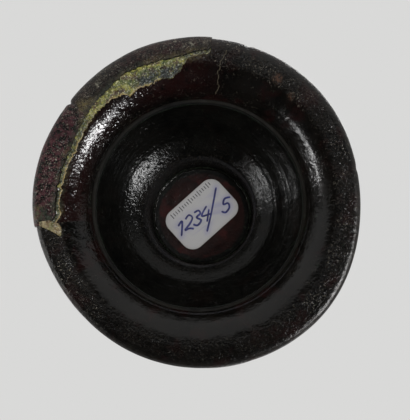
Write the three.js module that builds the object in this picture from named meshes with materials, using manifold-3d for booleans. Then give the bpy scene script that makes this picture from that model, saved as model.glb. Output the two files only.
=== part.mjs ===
// A cast bronze vase on a hollow splayed foot, in millimetres, +Z up.
// The origin is the centre of the ring that it stands on.
import * as THREE from 'three';
import { mergeVertices } from 'three/addons/utils/BufferGeometryUtils.js';
import Module from 'manifold-3d';

// General
const SEGMENTS = 40; // sides of every turned piece
const JOINT = 0.3; // width of a soldered joint between two pieces

// Foot skirt, the funnel that reaches the ground
const FOOT_RADIUS = 52.5;
const LIP_WIDTH = 8; // of the rough ring that the foot stands on
const LIP_HEIGHT = 3.6;
const LIP_EDGE = 1.2; // bevel of the lip's outer edges
const LIP_INNER_EDGE = 0.9; // bevel between the resting face and the funnel
const SKIRT_BORE = 35.6; // radius of the skirt's inner edge
const SKIRT_RISE = 7.5; // height of the underside at the inner edge
const SKIRT_BEND = 0.3; // share of the rise that lies outside the middle of the slope
const SKIRT_WALL = 2.9;
const SKIRT_LEDGE = 3; // flat top of the inner edge, which carries the step

// Old break in the foot's lip
const BREAK_FILL = 1.1; // width of the filler in the crack
const BREAK_SLOT = 0.3; // bare gap on each side of the filler and between the fragments
const BREAK_MIDDLE = 142; // degrees, where the broken rim parts in two
const BREAK_PATH = [
  // The crack's middle line, seen from below: [degrees, widths of the lip in from the foot's edge]
  [84, 0.39], [86, 0.59], [99, 0.84], [113, 0.79], [120, 0.74], [128, 0.88], [142, 0.96],
  [150, 1.06], [157, 1.13], [169, 1.06], [179, 1.01], [186, 0.95], [190, 0.6],
];

// Step of the foot, which joins the skirt to the bowl
const CREASE = 1; // width of the dark crease between the skirt and the step's ridge
const RIDGE_WIDTH = 1.1;
const FLANGE_LAP = 2.2; // how far the flange reaches out over the skirt
const FLANGE_HEIGHT = 2.3;
const FUNNEL_RADIUS = 33.3; // underside, where the ridge's inner face turns into the funnel
const FUNNEL_HEIGHT = 9.2;
const SHOULDER_RADIUS = 25.9; // where the funnel turns into the flatter shoulder of the well
const SHOULDER_HEIGHT = 18;
const WELL_MOUTH_RADIUS = 18.6;
const WELL_MOUTH_HEIGHT = 22.6;
const WELL_RADIUS = 16.5; // at the floor of the well
const WELL_FLOOR_HEIGHT = 31.8;
const STEM_RADIUS = 21.6;
const STEM_BORE = 15.2;
const STEM_ROOT_HEIGHT = 30; // where the cove above the flange meets the straight stem
const COVE_REACH = 5; // how far out from the stem the cove bends
const COVE_HEIGHT = 16; // height of that bend
const STEM_TOP = 40.5;

// Disc that closes the stem, and the paper label on its underside
const DISC_THICKNESS = 2;
const LABEL_LENGTH = 23.3;
const LABEL_WIDTH = 15.8;
const LABEL_THICKNESS = 0.3;
const LABEL_CORNER = 4.1;
const LABEL_TURN = -42; // degrees
const LABEL_SHIFT = -0.4; // of its middle along Y

// Collar round the stem
const COLLAR_WIDTH = 4.9; // from its bore to its outside, as for the rings below
const COLLAR_HEIGHT = 6.4;

// Bowl, in two castings that lap at the waist
const BOWL_RADIUS = 48;
const BOWL_WALL = 2.4;
const LOWER_DEPTH = 44; // half height of the ellipse that the lower half follows
const LOWER_SEAT_RADIUS = 22;
const UPPER_DEPTH = 46;
const UPPER_SEAT_RADIUS = 23;
const LAP_HEIGHT = 3.5; // of the upper half's spigot inside the lower half
const LAP_WALL = 1.6;
const BAND_HEIGHT = 5.6; // ring that covers the waist joint
const BAND_WIDTH = 1;

// Neck and its rings
const NECK_ROOT_RADIUS = 17.6;
const NECK_WAIST_RADIUS = 15.9;
const NECK_TOP_RADIUS = 17;
const NECK_BORE = 13.4;
const NECK_HEIGHT = 28;
const NECK_RING_WIDTH = 5.5;
const NECK_RING_HEIGHT = 4.6;
const KNOP_WIDTH = 4.3;
const KNOP_HEIGHT = 6.2;

// Flared mouth
const MOUTH_RADIUS = 41;
const MOUTH_HEIGHT = 37.5;
const MOUTH_WALL = 2.3;
const BEAD_WIDTH = 2.4;
const BEAD_HEIGHT = 4;

// Steps along the curves
const LONG_CURVE = 8;
const BEAD_CURVE = 6;

const wasm = await Module();
wasm.setup();

// Curves, each a list of [radius, height]
function arc(middle, [width, height], from, to, steps) {
  const points = [];
  for (let i = 0; i <= steps; i++) {
    const angle = from + ((to - from) * i) / steps;
    points.push([middle[0] + width * Math.cos(angle), middle[1] + height * Math.sin(angle)]);
  }
  return points;
}

function bend(start, control, end, steps) {
  const curve = new THREE.QuadraticBezierCurve(
    new THREE.Vector2(...start), new THREE.Vector2(...control), new THREE.Vector2(...end));
  return curve.getPoints(steps).map((point) => [point.x, point.y]);
}

// The same curve moved sideways by a wall, to the left of its run
function parallel(points, wall) {
  return points.map(([radius, height], i) => {
    const before = points[Math.max(i - 1, 0)];
    const after = points[Math.min(i + 1, points.length - 1)];
    const run = new THREE.Vector2(after[0] - before[0], after[1] - before[1]).normalize();
    return [radius - run.y * wall, height + run.x * wall];
  });
}

// A piece turned about Z, from a section run up its outside and down its inside
function turned(section) {
  const points = section.map(([radius, height]) => new THREE.Vector2(radius, height));
  const onAxis = section[0][0] === 0;
  if (!onAxis) points.push(points[0].clone());
  return new THREE.LatheGeometry(points, SEGMENTS).rotateX(Math.PI / 2);
}

// A ring with a half-round outside, round something of the given radius
function roundedRing(held, width, bottom, height) {
  const bore = held + JOINT;
  const half = height / 2;
  const bulge = Math.min(width, half);
  const middle = [bore + width - bulge, bottom + half];
  const outside = arc(middle, [bulge, half], -Math.PI / 2, Math.PI / 2, BEAD_CURVE);
  return turned([[bore, bottom], ...outside, [bore, bottom + height]]);
}

// Solids for cutting and joining
function solid(geometry) {
  const bare = geometry.clone();
  bare.deleteAttribute('normal');
  bare.deleteAttribute('uv');
  const merged = mergeVertices(bare, 1e-4);
  return new wasm.Manifold(new wasm.Mesh({
    numProp: 3,
    vertProperties: new Float32Array(merged.attributes.position.array),
    triVerts: new Uint32Array(merged.index.array),
  }));
}

function geometryOf(manifold) {
  const mesh = manifold.getMesh();
  const geometry = new THREE.BufferGeometry();
  geometry.setAttribute('position', new THREE.BufferAttribute(mesh.vertProperties, mesh.numProp));
  geometry.setIndex(new THREE.BufferAttribute(mesh.triVerts, 1));
  geometry.computeVertexNormals();
  return geometry;
}

// Foot
const skirtTop = SKIRT_RISE + SKIRT_WALL;
const lipInner = FOOT_RADIUS - LIP_WIDTH;

function skirtGeometry() {
  const lip = [
    [lipInner + LIP_INNER_EDGE, 0], [FOOT_RADIUS - LIP_EDGE, 0],
    [FOOT_RADIUS, LIP_EDGE], [FOOT_RADIUS, LIP_HEIGHT - LIP_EDGE],
  ];
  const slope = [(SKIRT_BORE + lipInner) / 2, SKIRT_RISE * SKIRT_BEND];
  const shelf = [SKIRT_BORE + SKIRT_LEDGE, skirtTop];
  const top = bend(
    [FOOT_RADIUS - LIP_EDGE, LIP_HEIGHT], [slope[0] + SKIRT_LEDGE, slope[1] + SKIRT_WALL / 2],
    shelf, LONG_CURVE);
  const underside = bend(
    [SKIRT_BORE, SKIRT_RISE], slope, [lipInner, LIP_INNER_EDGE], LONG_CURVE);
  return turned([...lip, ...top, [SKIRT_BORE, skirtTop], ...underside]);
}

// A point seen from below, where angles run the other way round
function seenFromBelow(degrees, radius) {
  const angle = THREE.MathUtils.degToRad(degrees);
  return new THREE.Vector2(radius * Math.cos(angle), -radius * Math.sin(angle));
}

function crackRadius(degrees) {
  const next = Math.max(1, BREAK_PATH.findIndex(([at]) => at >= degrees));
  const [[a, low], [b, high]] = [BREAK_PATH[next - 1], BREAK_PATH[next]];
  const inset = low + ((high - low) * (degrees - a)) / (b - a);
  return FOOT_RADIUS - inset * LIP_WIDTH;
}

// An upright block that holds everything outside the crack line moved out by a distance
function breakBlock(distance, from, to) {
  const between = BREAK_PATH.map(([degrees]) => degrees).filter((at) => at > from && at < to);
  const stations = [from, ...between, to];
  const outline = [
    ...stations.map((degrees) => seenFromBelow(degrees, crackRadius(degrees) + distance)),
    ...stations.reverse().map((degrees) => seenFromBelow(degrees, FOOT_RADIUS + LIP_WIDTH)),
  ];
  const depth = 2 * skirtTop;
  const block = new THREE.ExtrudeGeometry(new THREE.Shape(outline), { depth, bevelEnabled: false });
  return solid(block.translate(0, 0, -depth / 4));
}

// The ring of the foot, parted along the crack into skirt, filler and two fragments
function footPieces() {
  const whole = solid(skirtGeometry());
  const [start, end] = [BREAK_PATH[0][0], BREAK_PATH.at(-1)[0]];
  const slotAngle = THREE.MathUtils.radToDeg(BREAK_SLOT / FOOT_RADIUS);
  const half = BREAK_FILL / 2;
  const opening = breakBlock(-half - BREAK_SLOT, start, end);
  const filling = breakBlock(-half, start + slotAngle, end - slotAngle);
  const beyond = breakBlock(half, start, end);
  const a = breakBlock(half + BREAK_SLOT, start + slotAngle, BREAK_MIDDLE - slotAngle / 2);
  const b = breakBlock(half + BREAK_SLOT, BREAK_MIDDLE + slotAngle / 2, end - slotAngle);
  return {
    skirt: geometryOf(whole.subtract(opening)),
    fill: geometryOf(whole.intersect(filling.subtract(beyond))),
    fragmentA: geometryOf(whole.intersect(a)),
    fragmentB: geometryOf(whole.intersect(b)),
  };
}

// Step between the skirt and the bowl, with the well that is seen from below
const discTop = WELL_FLOOR_HEIGHT + DISC_THICKNESS;

function stepGeometry() {
  const ridge = SKIRT_BORE - CREASE;
  const flangeBottom = skirtTop + JOINT;
  const flangeRadius = SKIRT_BORE + FLANGE_LAP;
  const flange = [
    [ridge, SKIRT_RISE], [ridge, flangeBottom], [flangeRadius, flangeBottom],
    [flangeRadius, flangeBottom + FLANGE_HEIGHT],
  ];
  const cove = bend(
    [ridge, flangeBottom + FLANGE_HEIGHT], [STEM_RADIUS + COVE_REACH, COVE_HEIGHT],
    [STEM_RADIUS, STEM_ROOT_HEIGHT], LONG_CURVE);
  const well = [
    [STEM_RADIUS, STEM_TOP], [STEM_BORE, STEM_TOP], [STEM_BORE, discTop + JOINT],
    [WELL_RADIUS, discTop + JOINT], [WELL_RADIUS, WELL_FLOOR_HEIGHT],
    [WELL_MOUTH_RADIUS, WELL_MOUTH_HEIGHT],
  ];
  const funnel = [
    [SHOULDER_RADIUS, SHOULDER_HEIGHT], [FUNNEL_RADIUS, FUNNEL_HEIGHT],
    [ridge - RIDGE_WIDTH, SKIRT_RISE],
  ];
  return turned([...flange, ...cove, ...well, ...funnel]);
}

function discGeometry() {
  const radius = WELL_RADIUS - JOINT;
  return turned([[0, WELL_FLOOR_HEIGHT], [radius, WELL_FLOOR_HEIGHT], [radius, discTop], [0, discTop]]);
}

function labelGeometry() {
  const [x, y] = [LABEL_LENGTH / 2, LABEL_WIDTH / 2];
  const corner = LABEL_CORNER;
  const shape = new THREE.Shape();
  shape.absarc(x - corner, y - corner, corner, 0, Math.PI / 2);
  shape.absarc(corner - x, y - corner, corner, Math.PI / 2, Math.PI);
  shape.absarc(corner - x, corner - y, corner, Math.PI, 1.5 * Math.PI);
  shape.absarc(x - corner, corner - y, corner, 1.5 * Math.PI, 2 * Math.PI);
  return new THREE.ExtrudeGeometry(shape, {
    depth: LABEL_THICKNESS, bevelEnabled: false, curveSegments: BEAD_CURVE });
}

// Bowl
const lowerSeat = STEM_TOP + JOINT;
const lowerDrop = LOWER_DEPTH * Math.sin(Math.acos(LOWER_SEAT_RADIUS / BOWL_RADIUS));
const waist = lowerSeat + lowerDrop;
const upperRise = UPPER_DEPTH * Math.sin(Math.acos(UPPER_SEAT_RADIUS / BOWL_RADIUS));
const upperTop = waist + upperRise;

// One half of the bowl's wall: the outside follows one ellipse, and the inside another, which
// ends a wall's thickness short of the seat, at the bore. The sign is +1 for the upper half.
function bowlCurves(depth, rise, seatRadius, bore, sign) {
  const inside = BOWL_RADIUS - BOWL_WALL;
  const outerEnd = Math.acos(seatRadius / BOWL_RADIUS);
  const innerEnd = Math.acos(bore / inside);
  const innerDepth = (rise - BOWL_WALL) / Math.sin(innerEnd);
  return {
    outer: arc([0, waist], [BOWL_RADIUS, sign * depth], 0, outerEnd, LONG_CURVE),
    inner: arc([0, waist], [inside, sign * innerDepth], 0, innerEnd, LONG_CURVE),
  };
}

function lowerBowlGeometry() {
  const { outer, inner } = bowlCurves(LOWER_DEPTH, lowerDrop, LOWER_SEAT_RADIUS, STEM_BORE, -1);
  const rebate = BOWL_RADIUS - BOWL_WALL;
  const rebateFoot = waist - LAP_HEIGHT - JOINT;
  const below = inner.filter(([, height]) => height < rebateFoot);
  return turned([
    ...outer.reverse(), [rebate, waist], [rebate, rebateFoot], ...below, [STEM_BORE, lowerSeat],
  ]);
}

function upperBowlGeometry() {
  const { outer, inner } = bowlCurves(UPPER_DEPTH, upperRise, UPPER_SEAT_RADIUS, NECK_BORE, 1);
  outer[0] = [BOWL_RADIUS, waist + JOINT];
  const lapOuter = BOWL_RADIUS - BOWL_WALL - JOINT;
  const lapInner = lapOuter - LAP_WALL;
  const lap = [
    [lapInner, waist + LAP_WALL], [lapInner, waist - LAP_HEIGHT],
    [lapOuter, waist - LAP_HEIGHT], [lapOuter, waist + JOINT],
  ];
  const above = inner.filter(([radius]) => radius < lapInner).reverse();
  return turned([...outer, [NECK_BORE, upperTop], ...above, ...lap]);
}

// Neck and mouth
const neckBottom = upperTop + JOINT;
const neckTop = neckBottom + NECK_HEIGHT;
const mouthBottom = neckTop + JOINT;
const mouthTop = mouthBottom + MOUTH_HEIGHT;

function neckGeometry() {
  const middle = (neckBottom + neckTop) / 2;
  const outside = new THREE.SplineCurve([
    new THREE.Vector2(NECK_ROOT_RADIUS, neckBottom), new THREE.Vector2(NECK_WAIST_RADIUS, middle),
    new THREE.Vector2(NECK_TOP_RADIUS, neckTop),
  ]).getPoints(LONG_CURVE).map((point) => [point.x, point.y]);
  return turned([...outside, [NECK_BORE, neckTop], [NECK_BORE, neckBottom]]);
}

function mouthGeometry() {
  const rim = [MOUTH_RADIUS, mouthTop - MOUTH_WALL];
  const outside = bend(
    [NECK_TOP_RADIUS, mouthBottom], [NECK_TOP_RADIUS, mouthTop - MOUTH_WALL], rim, LONG_CURVE);
  const inside = parallel(outside, MOUTH_WALL).slice(1, -1).reverse();
  return turned([
    ...outside, [MOUTH_RADIUS, mouthTop], ...inside, [NECK_TOP_RADIUS - MOUTH_WALL, mouthBottom],
  ]);
}

// Materials and assembly
const DARK_BRONZE = { color: 0x231f1d, roughness: 0.45, metalness: 0.75 };
const GREY_BRONZE = { color: 0x2c2829, roughness: 0.6, metalness: 0.6 };
const PURPLE_BRONZE = { color: 0x33272a, roughness: 0.6, metalness: 0.6 };
const RED_BRONZE = { color: 0x2a1c17, roughness: 0.6, metalness: 0.5 };
const VERDIGRIS = { color: 0x6d6b35, roughness: 0.9, metalness: 0 };
const PAPER = { color: 0xc4c4c8, roughness: 0.85, metalness: 0 };

const vase = new THREE.Group();

function add(name, geometry, finish) {
  const mesh = new THREE.Mesh(geometry, new THREE.MeshStandardMaterial(finish));
  mesh.name = name;
  vase.add(mesh);
  return mesh;
}

const foot = footPieces();
add('foot_skirt', foot.skirt, GREY_BRONZE);
add('rim_fragment_a', foot.fragmentA, GREY_BRONZE);
add('rim_fragment_b', foot.fragmentB, PURPLE_BRONZE);
add('break_fill', foot.fill, VERDIGRIS);
add('foot_step', stepGeometry(), DARK_BRONZE);
add('base_disc', discGeometry(), RED_BRONZE);

const label = add('inventory_label', labelGeometry(), PAPER);
label.rotation.z = THREE.MathUtils.degToRad(LABEL_TURN);
label.position.set(0, LABEL_SHIFT, WELL_FLOOR_HEIGHT - JOINT - LABEL_THICKNESS);

add('stem_collar',
  roundedRing(STEM_RADIUS, COLLAR_WIDTH, STEM_TOP - COLLAR_HEIGHT, COLLAR_HEIGHT), DARK_BRONZE);
add('bowl_lower', lowerBowlGeometry(), DARK_BRONZE);
add('waist_band',
  roundedRing(BOWL_RADIUS, BAND_WIDTH, waist - BAND_HEIGHT / 2, BAND_HEIGHT), DARK_BRONZE);
add('bowl_upper', upperBowlGeometry(), DARK_BRONZE);
add('neck_ring',
  roundedRing(NECK_ROOT_RADIUS, NECK_RING_WIDTH, neckBottom, NECK_RING_HEIGHT), DARK_BRONZE);
add('neck', neckGeometry(), DARK_BRONZE);
add('neck_knop',
  roundedRing(NECK_TOP_RADIUS, KNOP_WIDTH, mouthBottom - KNOP_HEIGHT / 2, KNOP_HEIGHT), DARK_BRONZE);
add('mouth', mouthGeometry(), DARK_BRONZE);
const beadBottom = mouthTop - (MOUTH_WALL + BEAD_HEIGHT) / 2;
add('mouth_bead', roundedRing(MOUTH_RADIUS, BEAD_WIDTH, beadBottom, BEAD_HEIGHT), DARK_BRONZE);

export default vase;
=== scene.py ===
from functools import reduce
from math import acos, copysign, cos, inf, pi, radians, sin

import bpy
import numpy as np
from mathutils import Matrix, Vector, noise


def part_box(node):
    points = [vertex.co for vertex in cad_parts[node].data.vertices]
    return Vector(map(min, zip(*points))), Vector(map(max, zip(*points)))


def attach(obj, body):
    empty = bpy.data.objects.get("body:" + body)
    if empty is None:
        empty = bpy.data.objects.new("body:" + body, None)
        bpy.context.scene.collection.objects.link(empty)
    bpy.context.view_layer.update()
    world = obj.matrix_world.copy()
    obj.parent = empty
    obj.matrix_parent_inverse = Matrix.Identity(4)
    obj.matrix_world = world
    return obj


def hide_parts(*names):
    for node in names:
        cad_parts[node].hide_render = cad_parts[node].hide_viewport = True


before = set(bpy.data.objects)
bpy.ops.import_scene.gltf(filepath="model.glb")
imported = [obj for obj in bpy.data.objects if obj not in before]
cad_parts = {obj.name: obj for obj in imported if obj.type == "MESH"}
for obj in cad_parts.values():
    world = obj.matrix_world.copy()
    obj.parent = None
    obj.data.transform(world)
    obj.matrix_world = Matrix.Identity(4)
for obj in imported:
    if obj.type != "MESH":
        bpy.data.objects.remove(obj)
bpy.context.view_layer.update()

MM = 0.001

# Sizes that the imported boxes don't give
JOINT = 0.3
LIP_WIDTH = 8
LIP_EDGE = 1.2
LIP_HEIGHT = 3.6
SKIRT_BORE = 35.6
SKIRT_LEDGE = 3
SKIRT_TOP_TURN = (42.4, 4.2)  # control point of the curve over the skirt
CREASE = 1
RIDGE_WIDTH = 1.1
FLANGE_HEIGHT = 2.3
FUNNEL_HEIGHT = 9.2
SHOULDER_SHIFT = 1.4  # how much narrower the well's shoulder is on the photograph's right
WELL_RADIUS = 16.5
STEM_RADIUS = 21.6
STEM_BORE = 15.2
STEM_ROOT_HEIGHT = 30
COVE_REACH, COVE_HEIGHT = 5, 16
BOWL_WALL = 2.4
LOWER_DEPTH, LOWER_SEAT_RADIUS = 44, 22
UPPER_DEPTH, UPPER_SEAT_RADIUS = 46, 23
LAP_HEIGHT, LAP_WALL = 3.5, 1.6
NECK_ROOT_RADIUS, NECK_WAIST_RADIUS, NECK_TOP_RADIUS = 17.6, 15.9, 17.0
NECK_BORE = 13.4
MOUTH_WALL = 2.3
LABEL_LENGTH, LABEL_WIDTH, LABEL_CORNER = 23.3, 15.8, 4.1
LABEL_TURN = -42
LABEL_SHIFT = -0.4

# Slopes in the hollow of the foot, as (radius, degrees): under the skirt, and from the well outwards
SKIRT_SLOPES = [
    (35.6, 56), (36.3, 46), (37.0, 43.5), (38.2, 41.5), (39.0, 36), (40.0, 31), (42.5, 18),
    (44.9, 9), (46.3, 4),
]
HOLLOW_SLOPES = [
    (17.4, 76), (18, 66), (18.9, 50), (19.8, 41), (20.8, 36.5), (21.8, 32), (22.8, 29.2), (23.7, 30.5),
    (24.6, 36), (25.8, 42), (27.4, 47), (29.0, 50), (33.3, 51.5),
]

# A line between the step's hollow and its outside, as (height, radius)
STEP_SPLIT = [(9, 34.2), (13, 31), (15, 29.5), (18, 27.3), (20, 25), (24, 20.5), (30, 19)]

# The break in the foot's lip, as (degrees below, widths of the lip in from the edge)
BREAK_PATH = [
    (84, 0.39), (86, 0.59), (99, 0.84), (113, 0.79), (120, 0.74), (128, 0.88), (142, 0.96),
    (150, 1.06), (157, 1.13), (169, 1.06), (179, 1.01), (186, 0.95), (190, 0.6),
]
BREAK_START, BREAK_MIDDLE, BREAK_END = 85.2, 142.0, 188.8
BREAK_HALF = 0.45  # half the width of the filled crack
FRAGMENT_GAP = 0.02  # degrees between a fragment and its neighbour

# How far the filler spreads inwards from the fragments' edge: (degrees below, millimetres)
FILL_SPREAD = [
    (85, 0.9), (94, 1.0), (96, 2.6), (98, 4.6), (102, 5.1), (110, 5.5), (118, 5.9), (121, 6.0),
    (124, 5.2), (127, 4.0), (130, 2.7), (134, 2.5), (138, 2.2), (141, 1.9), (146, 2.3), (149, 1.9),
    (154, 1.7), (160, 1.5), (168, 1.2), (177, 1.1), (181, 1.0), (185, 1.4), (189, 1.9),
]
# How pale the filler's inner edge is, as (degrees below, share)
PALE_EDGE = [(106, 0.1), (111, 1), (128, 1), (133, 0.3), (147, 0.35), (153, 0.9), (187, 0.8)]
# A loose flake of filler at the break's end: (degrees below, inner radius, outer radius)
FLAKE = [(187.4, 47.6, 51.4), (188.3, 46.2, 51.7), (189.2, 45.0, 51.0), (190.2, 44.5, 49.6),
         (191.3, 44.3, 48.2), (192.4, 44.5, 47.0), (193.4, 44.6, 46.3), (194.3, 45.0, 45.6)]

# How far the worn foot is out of round: (waves round the foot, size, degrees below of a crest)
OUT_OF_ROUND = [(1, 0.44, 79), (2, 0.83, -70.5), (3, 0.39, 61), (4, 0.07, -34.6), (5, 0.2, 36.1)]
ROUND_INSIDE = 38
# How far each mended fragment stands proud of the foot at its two ends
FRAGMENT_PROUD = {"a": (0.5, 0.15), "b": (0.0, 0.65)}
# Nicks in the lip: (degrees below, depth, width in degrees)
NICKS = [(72.3, 0.45, 1.0), (142.0, 0.55, 0.8), (11.5, 0.2, 1.2), (318, 0.4, 1.6), (222, 0.1, 3.0)]
# The broad worn bevel of the lip's outer edge: its middle and half width in degrees below
BROAD_BEVEL = (85.0, 62.0)
BEVEL_REACH, BEVEL_HEIGHT, BEVEL_DEPTH = 4.2, 3.0, 1.3
# Hairline crack in the skirt, as (radius, degrees below)
HAIRLINE = [(36.0, 80.9), (38.4, 80.3), (41.6, 81.2), (43.9, 80.8), (46.6, 79.9), (48.9, 79.3)]
HAIR_FROM, HAIR_TO = 78, 84  # the mesh is finer between these degrees
# How calm the casting's grain is, as (degrees below, share)
CALM = [
    (0, 0.66), (40, 0.62), (65, 0.8), (100, 0.8), (125, 0), (195, 0), (220, 0.8), (335, 0.8), (360, 0.66),
]
# How little dusty grit the lip holds, as (degrees below, share)
QUIET = [(0, 0.5), (40, 0.6), (60, 0.1), (210, 0), (240, 1), (300, 1), (318, 0.5), (340, 0.6), (360, 0.5)]
# Where the lip is red or purple: (degrees below, half width in degrees)
RED_CASTS = [(168, 48), (104, 26)]
# Pale drips and chips, stains and brown chips on the lip: (degrees below, radius, size)
PALE_SPOTS = [
    (130.5, 49.2, 0.85), (129.2, 48.6, 0.5), (92.2, 49.9, 1.0), (87.4, 50.5, 0.8), (95.2, 49.0, 0.5),
]
STAINS = [(184.5, 50.0, 2.4), (187.0, 47.5, 1.6), (140.0, 47.6, 2.0), (136.5, 46.2, 1.4)]
BROWN_CHIPS = [
    (315.2, 51.0, 1.2), (311.0, 50.6, 1.0), (314.0, 49.6, 0.6), (57.0, 46.5, 1.4), (48.5, 44.6, 1.0),
]

# Points along the underside and the top of the skirt and of a fragment, and along the filler
SKIRT_POINTS = (86, 40)
FRAGMENT_POINTS = (56, 34)
FILL_POINTS, HIDDEN_POINTS = 22, 6
FLAKE_POINTS = 20
ALL_ROUND = np.arange(0, 360, 1.0)


def span(node):
    """Largest radius, lowest and highest height of a CAD node, in millimetres."""
    low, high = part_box(node)
    return max(high.x, -low.x) / MM, low.z / MM, high.z / MM


def read(table, at):
    """What a table of (place, value) rows gives at a place, or at each of several."""
    return np.interp(at, *zip(*table))


def limited(values):
    """The values, held between 0 and 1."""
    return np.clip(values, 0, 1)


def waver(x, y=0.0, z=0.0):
    """Smooth noise at each of these places, from -1 to 1."""
    places = np.stack(np.broadcast_arrays(x, y, z), -1)
    values = [noise.noise(Vector(place)) for place in places.reshape(-1, 3)]
    return np.reshape(values, places.shape[:-1])


# Curves and sections: arrays of (radius, height) rows
def size_of(vectors):
    return np.hypot(vectors[..., 0], vectors[..., 1])


def bend(start, control, end, steps=32):
    t = np.linspace(0, 1, steps + 1)[:, None]
    a, c, b = (np.array(point, float) for point in (start, control, end))
    return (1 - t) ** 2 * a + 2 * t * (1 - t) * c + t**2 * b


def arc(middle, size, start, end, steps=32):
    t = np.linspace(start, end, steps + 1)
    return np.stack([middle[0] + size[0] * np.cos(t), middle[1] + size[1] * np.sin(t)], 1)


def sloped(slopes, outer_height, steps):
    """A curve run outwards, from its slopes at some radii and the height of its outer end."""
    radius = np.linspace(slopes[0][0], slopes[-1][0], steps + 1)
    slope = np.tan(np.radians(read(slopes, radius)))
    falls = (slope[1:] + slope[:-1]) / 2 * np.diff(radius)
    return np.stack([radius, outer_height + np.append(np.cumsum(falls[::-1])[::-1], 0)], 1)


def path(*parts):
    return np.vstack([np.atleast_2d(np.array(part, float)) for part in parts])


def soften(points, radius, closed=True):
    """The section with each corner rounded."""
    rounded = []
    for i, here in enumerate(points):
        if not closed and i in (0, len(points) - 1):
            rounded.append(here[None])
            continue
        sides = points[i - 1] - here, points[(i + 1) % len(points)] - here
        lengths = [size_of(side) for side in sides]
        if min(lengths) > 1e-6:
            start, end = (here + side * min(radius / length, 0.5) for side, length in zip(sides, lengths))
            rounded.append(bend(start, here, end, 4))
    return np.vstack(rounded)


def lengths_along(points):
    return np.concatenate([[0], np.cumsum(size_of(np.diff(points, axis=0)))])


def picked(points, along, at):
    """The points of a curve where the distance along it has these values."""
    return np.stack([np.interp(at, along, points[:, k]) for k in (0, 1)], 1)


def respaced(points, count):
    """The same open curve with count points evenly along it."""
    along = lengths_along(points)
    return picked(points, along, np.linspace(0, along[-1], count))


def between(curve, inner, outer, count):
    """The stretch of a curve between two radii. It stops at the curve's own ends."""
    along = lengths_along(curve)
    radii = np.maximum.accumulate(curve[:, 0] + np.arange(len(curve)) * 1e-7)
    return picked(curve, along, np.linspace(*np.interp([inner, outer], radii, along), count))


def closed_section(parts, radius, step, plain=None):
    """A closed section with rounded corners and even steps, four times as long where it is plain."""
    rounded = soften(path(*parts), radius)
    loop = np.vstack([rounded, rounded[:1]])
    fine = respaced(loop, int(lengths_along(loop)[-1] / 0.1))
    steps = np.where(plain(*fine[1:].T), 4 * step, step) if plain else step
    counted = np.append(0, np.cumsum(size_of(np.diff(fine, axis=0)) / steps))
    return picked(fine, counted, np.linspace(0, counted[-1], max(16, int(counted[-1])) + 1)[:-1])


def parallel(points, wall):
    """The curve moved sideways by a wall, to the left of its run."""
    run = np.gradient(points, axis=0)
    run /= size_of(run)[:, None]
    return points + np.stack([-run[:, 1], run[:, 0]], 1) * wall


def engraved(points, places, depth=0.3, width=0.45):
    """Turned grooves across a curve that runs upwards, at these distances along it or back from its end."""
    length = lengths_along(points)[-1]
    fine = respaced(points, int(length / 0.2))
    along = lengths_along(fine)
    cut = sum(np.exp(-(((along - at % length) / width) ** 2)) for at in places)
    return parallel(fine, depth * np.minimum(cut, 1)[:, None])


def turning_lines(points, depth, spacing):
    """Shallow lines that the turner's tool left, all the way round."""
    along = lengths_along(points)
    cut = waver(along / spacing, 1.0) + 0.5 * waver(along * 2.3 / spacing, 1.0, 4)
    return parallel(points, (cut * depth)[:, None])


# Meshes made of sections set round the axis
def make_mesh(name, vertices, faces):
    mesh = bpy.data.meshes.new(name)
    mesh.from_pydata((vertices * MM).tolist(), [], faces)
    mesh.validate()
    mesh.update()
    piece = bpy.data.objects.new(name, mesh)
    bpy.context.scene.collection.objects.link(piece)
    return piece


def grid_faces(rows, columns, wrap_rows=False):
    """The faces of a grid of points whose rows are loops. The last row may be joined to the first."""
    i = np.arange(rows if wrap_rows else rows - 1)
    i, j = (a.ravel() for a in np.meshgrid(i, np.arange(columns), indexing="ij"))
    i2, j2 = (i + 1) % rows, (j + 1) % columns
    return np.stack([i * columns + j, i2 * columns + j, i2 * columns + j2, i * columns + j2], 1)


def section_curvature(sections):
    """How sharply each section turns at each point, per millimetre: above 0 on outward edges."""
    before, after = np.roll(sections, 2, axis=1), np.roll(sections, -2, axis=1)
    first, second = sections - before, after - sections
    turn = first[..., 0] * second[..., 1] - first[..., 1] * second[..., 0]
    size = size_of(first) * size_of(second)
    reach = size_of(after - before) / 2
    return np.arcsin(np.clip(turn / np.maximum(size, 1e-9), -1, 1)) / np.maximum(reach, 0.05)


def set_round(radius, height, turn):
    return np.stack([radius * np.cos(turn), -radius * np.sin(turn), height], -1)


def revolved(name, sections, angles=ALL_ROUND, whole=True, relief=0.12, seed=1, marks=None):
    """A closed body from one section, or from one for each angle below. It is slightly uneven, like an
    old casting, and holds the marks that its material reads."""
    if sections.ndim == 2:
        sections = np.broadcast_to(sections, (len(angles), *sections.shape))
    turn = np.radians(angles)[:, None]
    radius, height = sections[..., 0], sections[..., 1]
    places = np.moveaxis(set_round(radius, height, turn), -1, 0)
    uneven = sum(
        waver(*(places / lump + shift * 17.3)) * relief * share
        for lump, shift, share in ((9, seed, 1), (2.6, seed + 1, 0.25)))
    run = np.roll(sections, -1, axis=1) - np.roll(sections, 1, axis=1)
    anticlockwise = (run[0, :, 1] * radius[0]).sum() > 0
    run /= np.maximum(size_of(run), 1e-9)[..., None]
    vertices = set_round(radius + run[..., 1] * uneven, height - run[..., 0] * uneven, turn).reshape(-1, 3)
    rows, columns = radius.shape
    faces = grid_faces(rows, columns, whole).tolist()
    if not whole:
        faces += [list(range(columns))[::-1], list(range((rows - 1) * columns, rows * columns))]
    if anticlockwise:
        faces = [face[::-1] for face in faces]
    piece = make_mesh(name, vertices, faces)
    curve = section_curvature(sections) * 0.8
    marks = {"worn": limited(curve), "sheltered": limited(-curve), **(marks or {})}
    for mark, values in marks.items():
        store(piece, mark, np.broadcast_to(values, radius.shape))
    smooth_but_edges(piece)
    return piece


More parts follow.
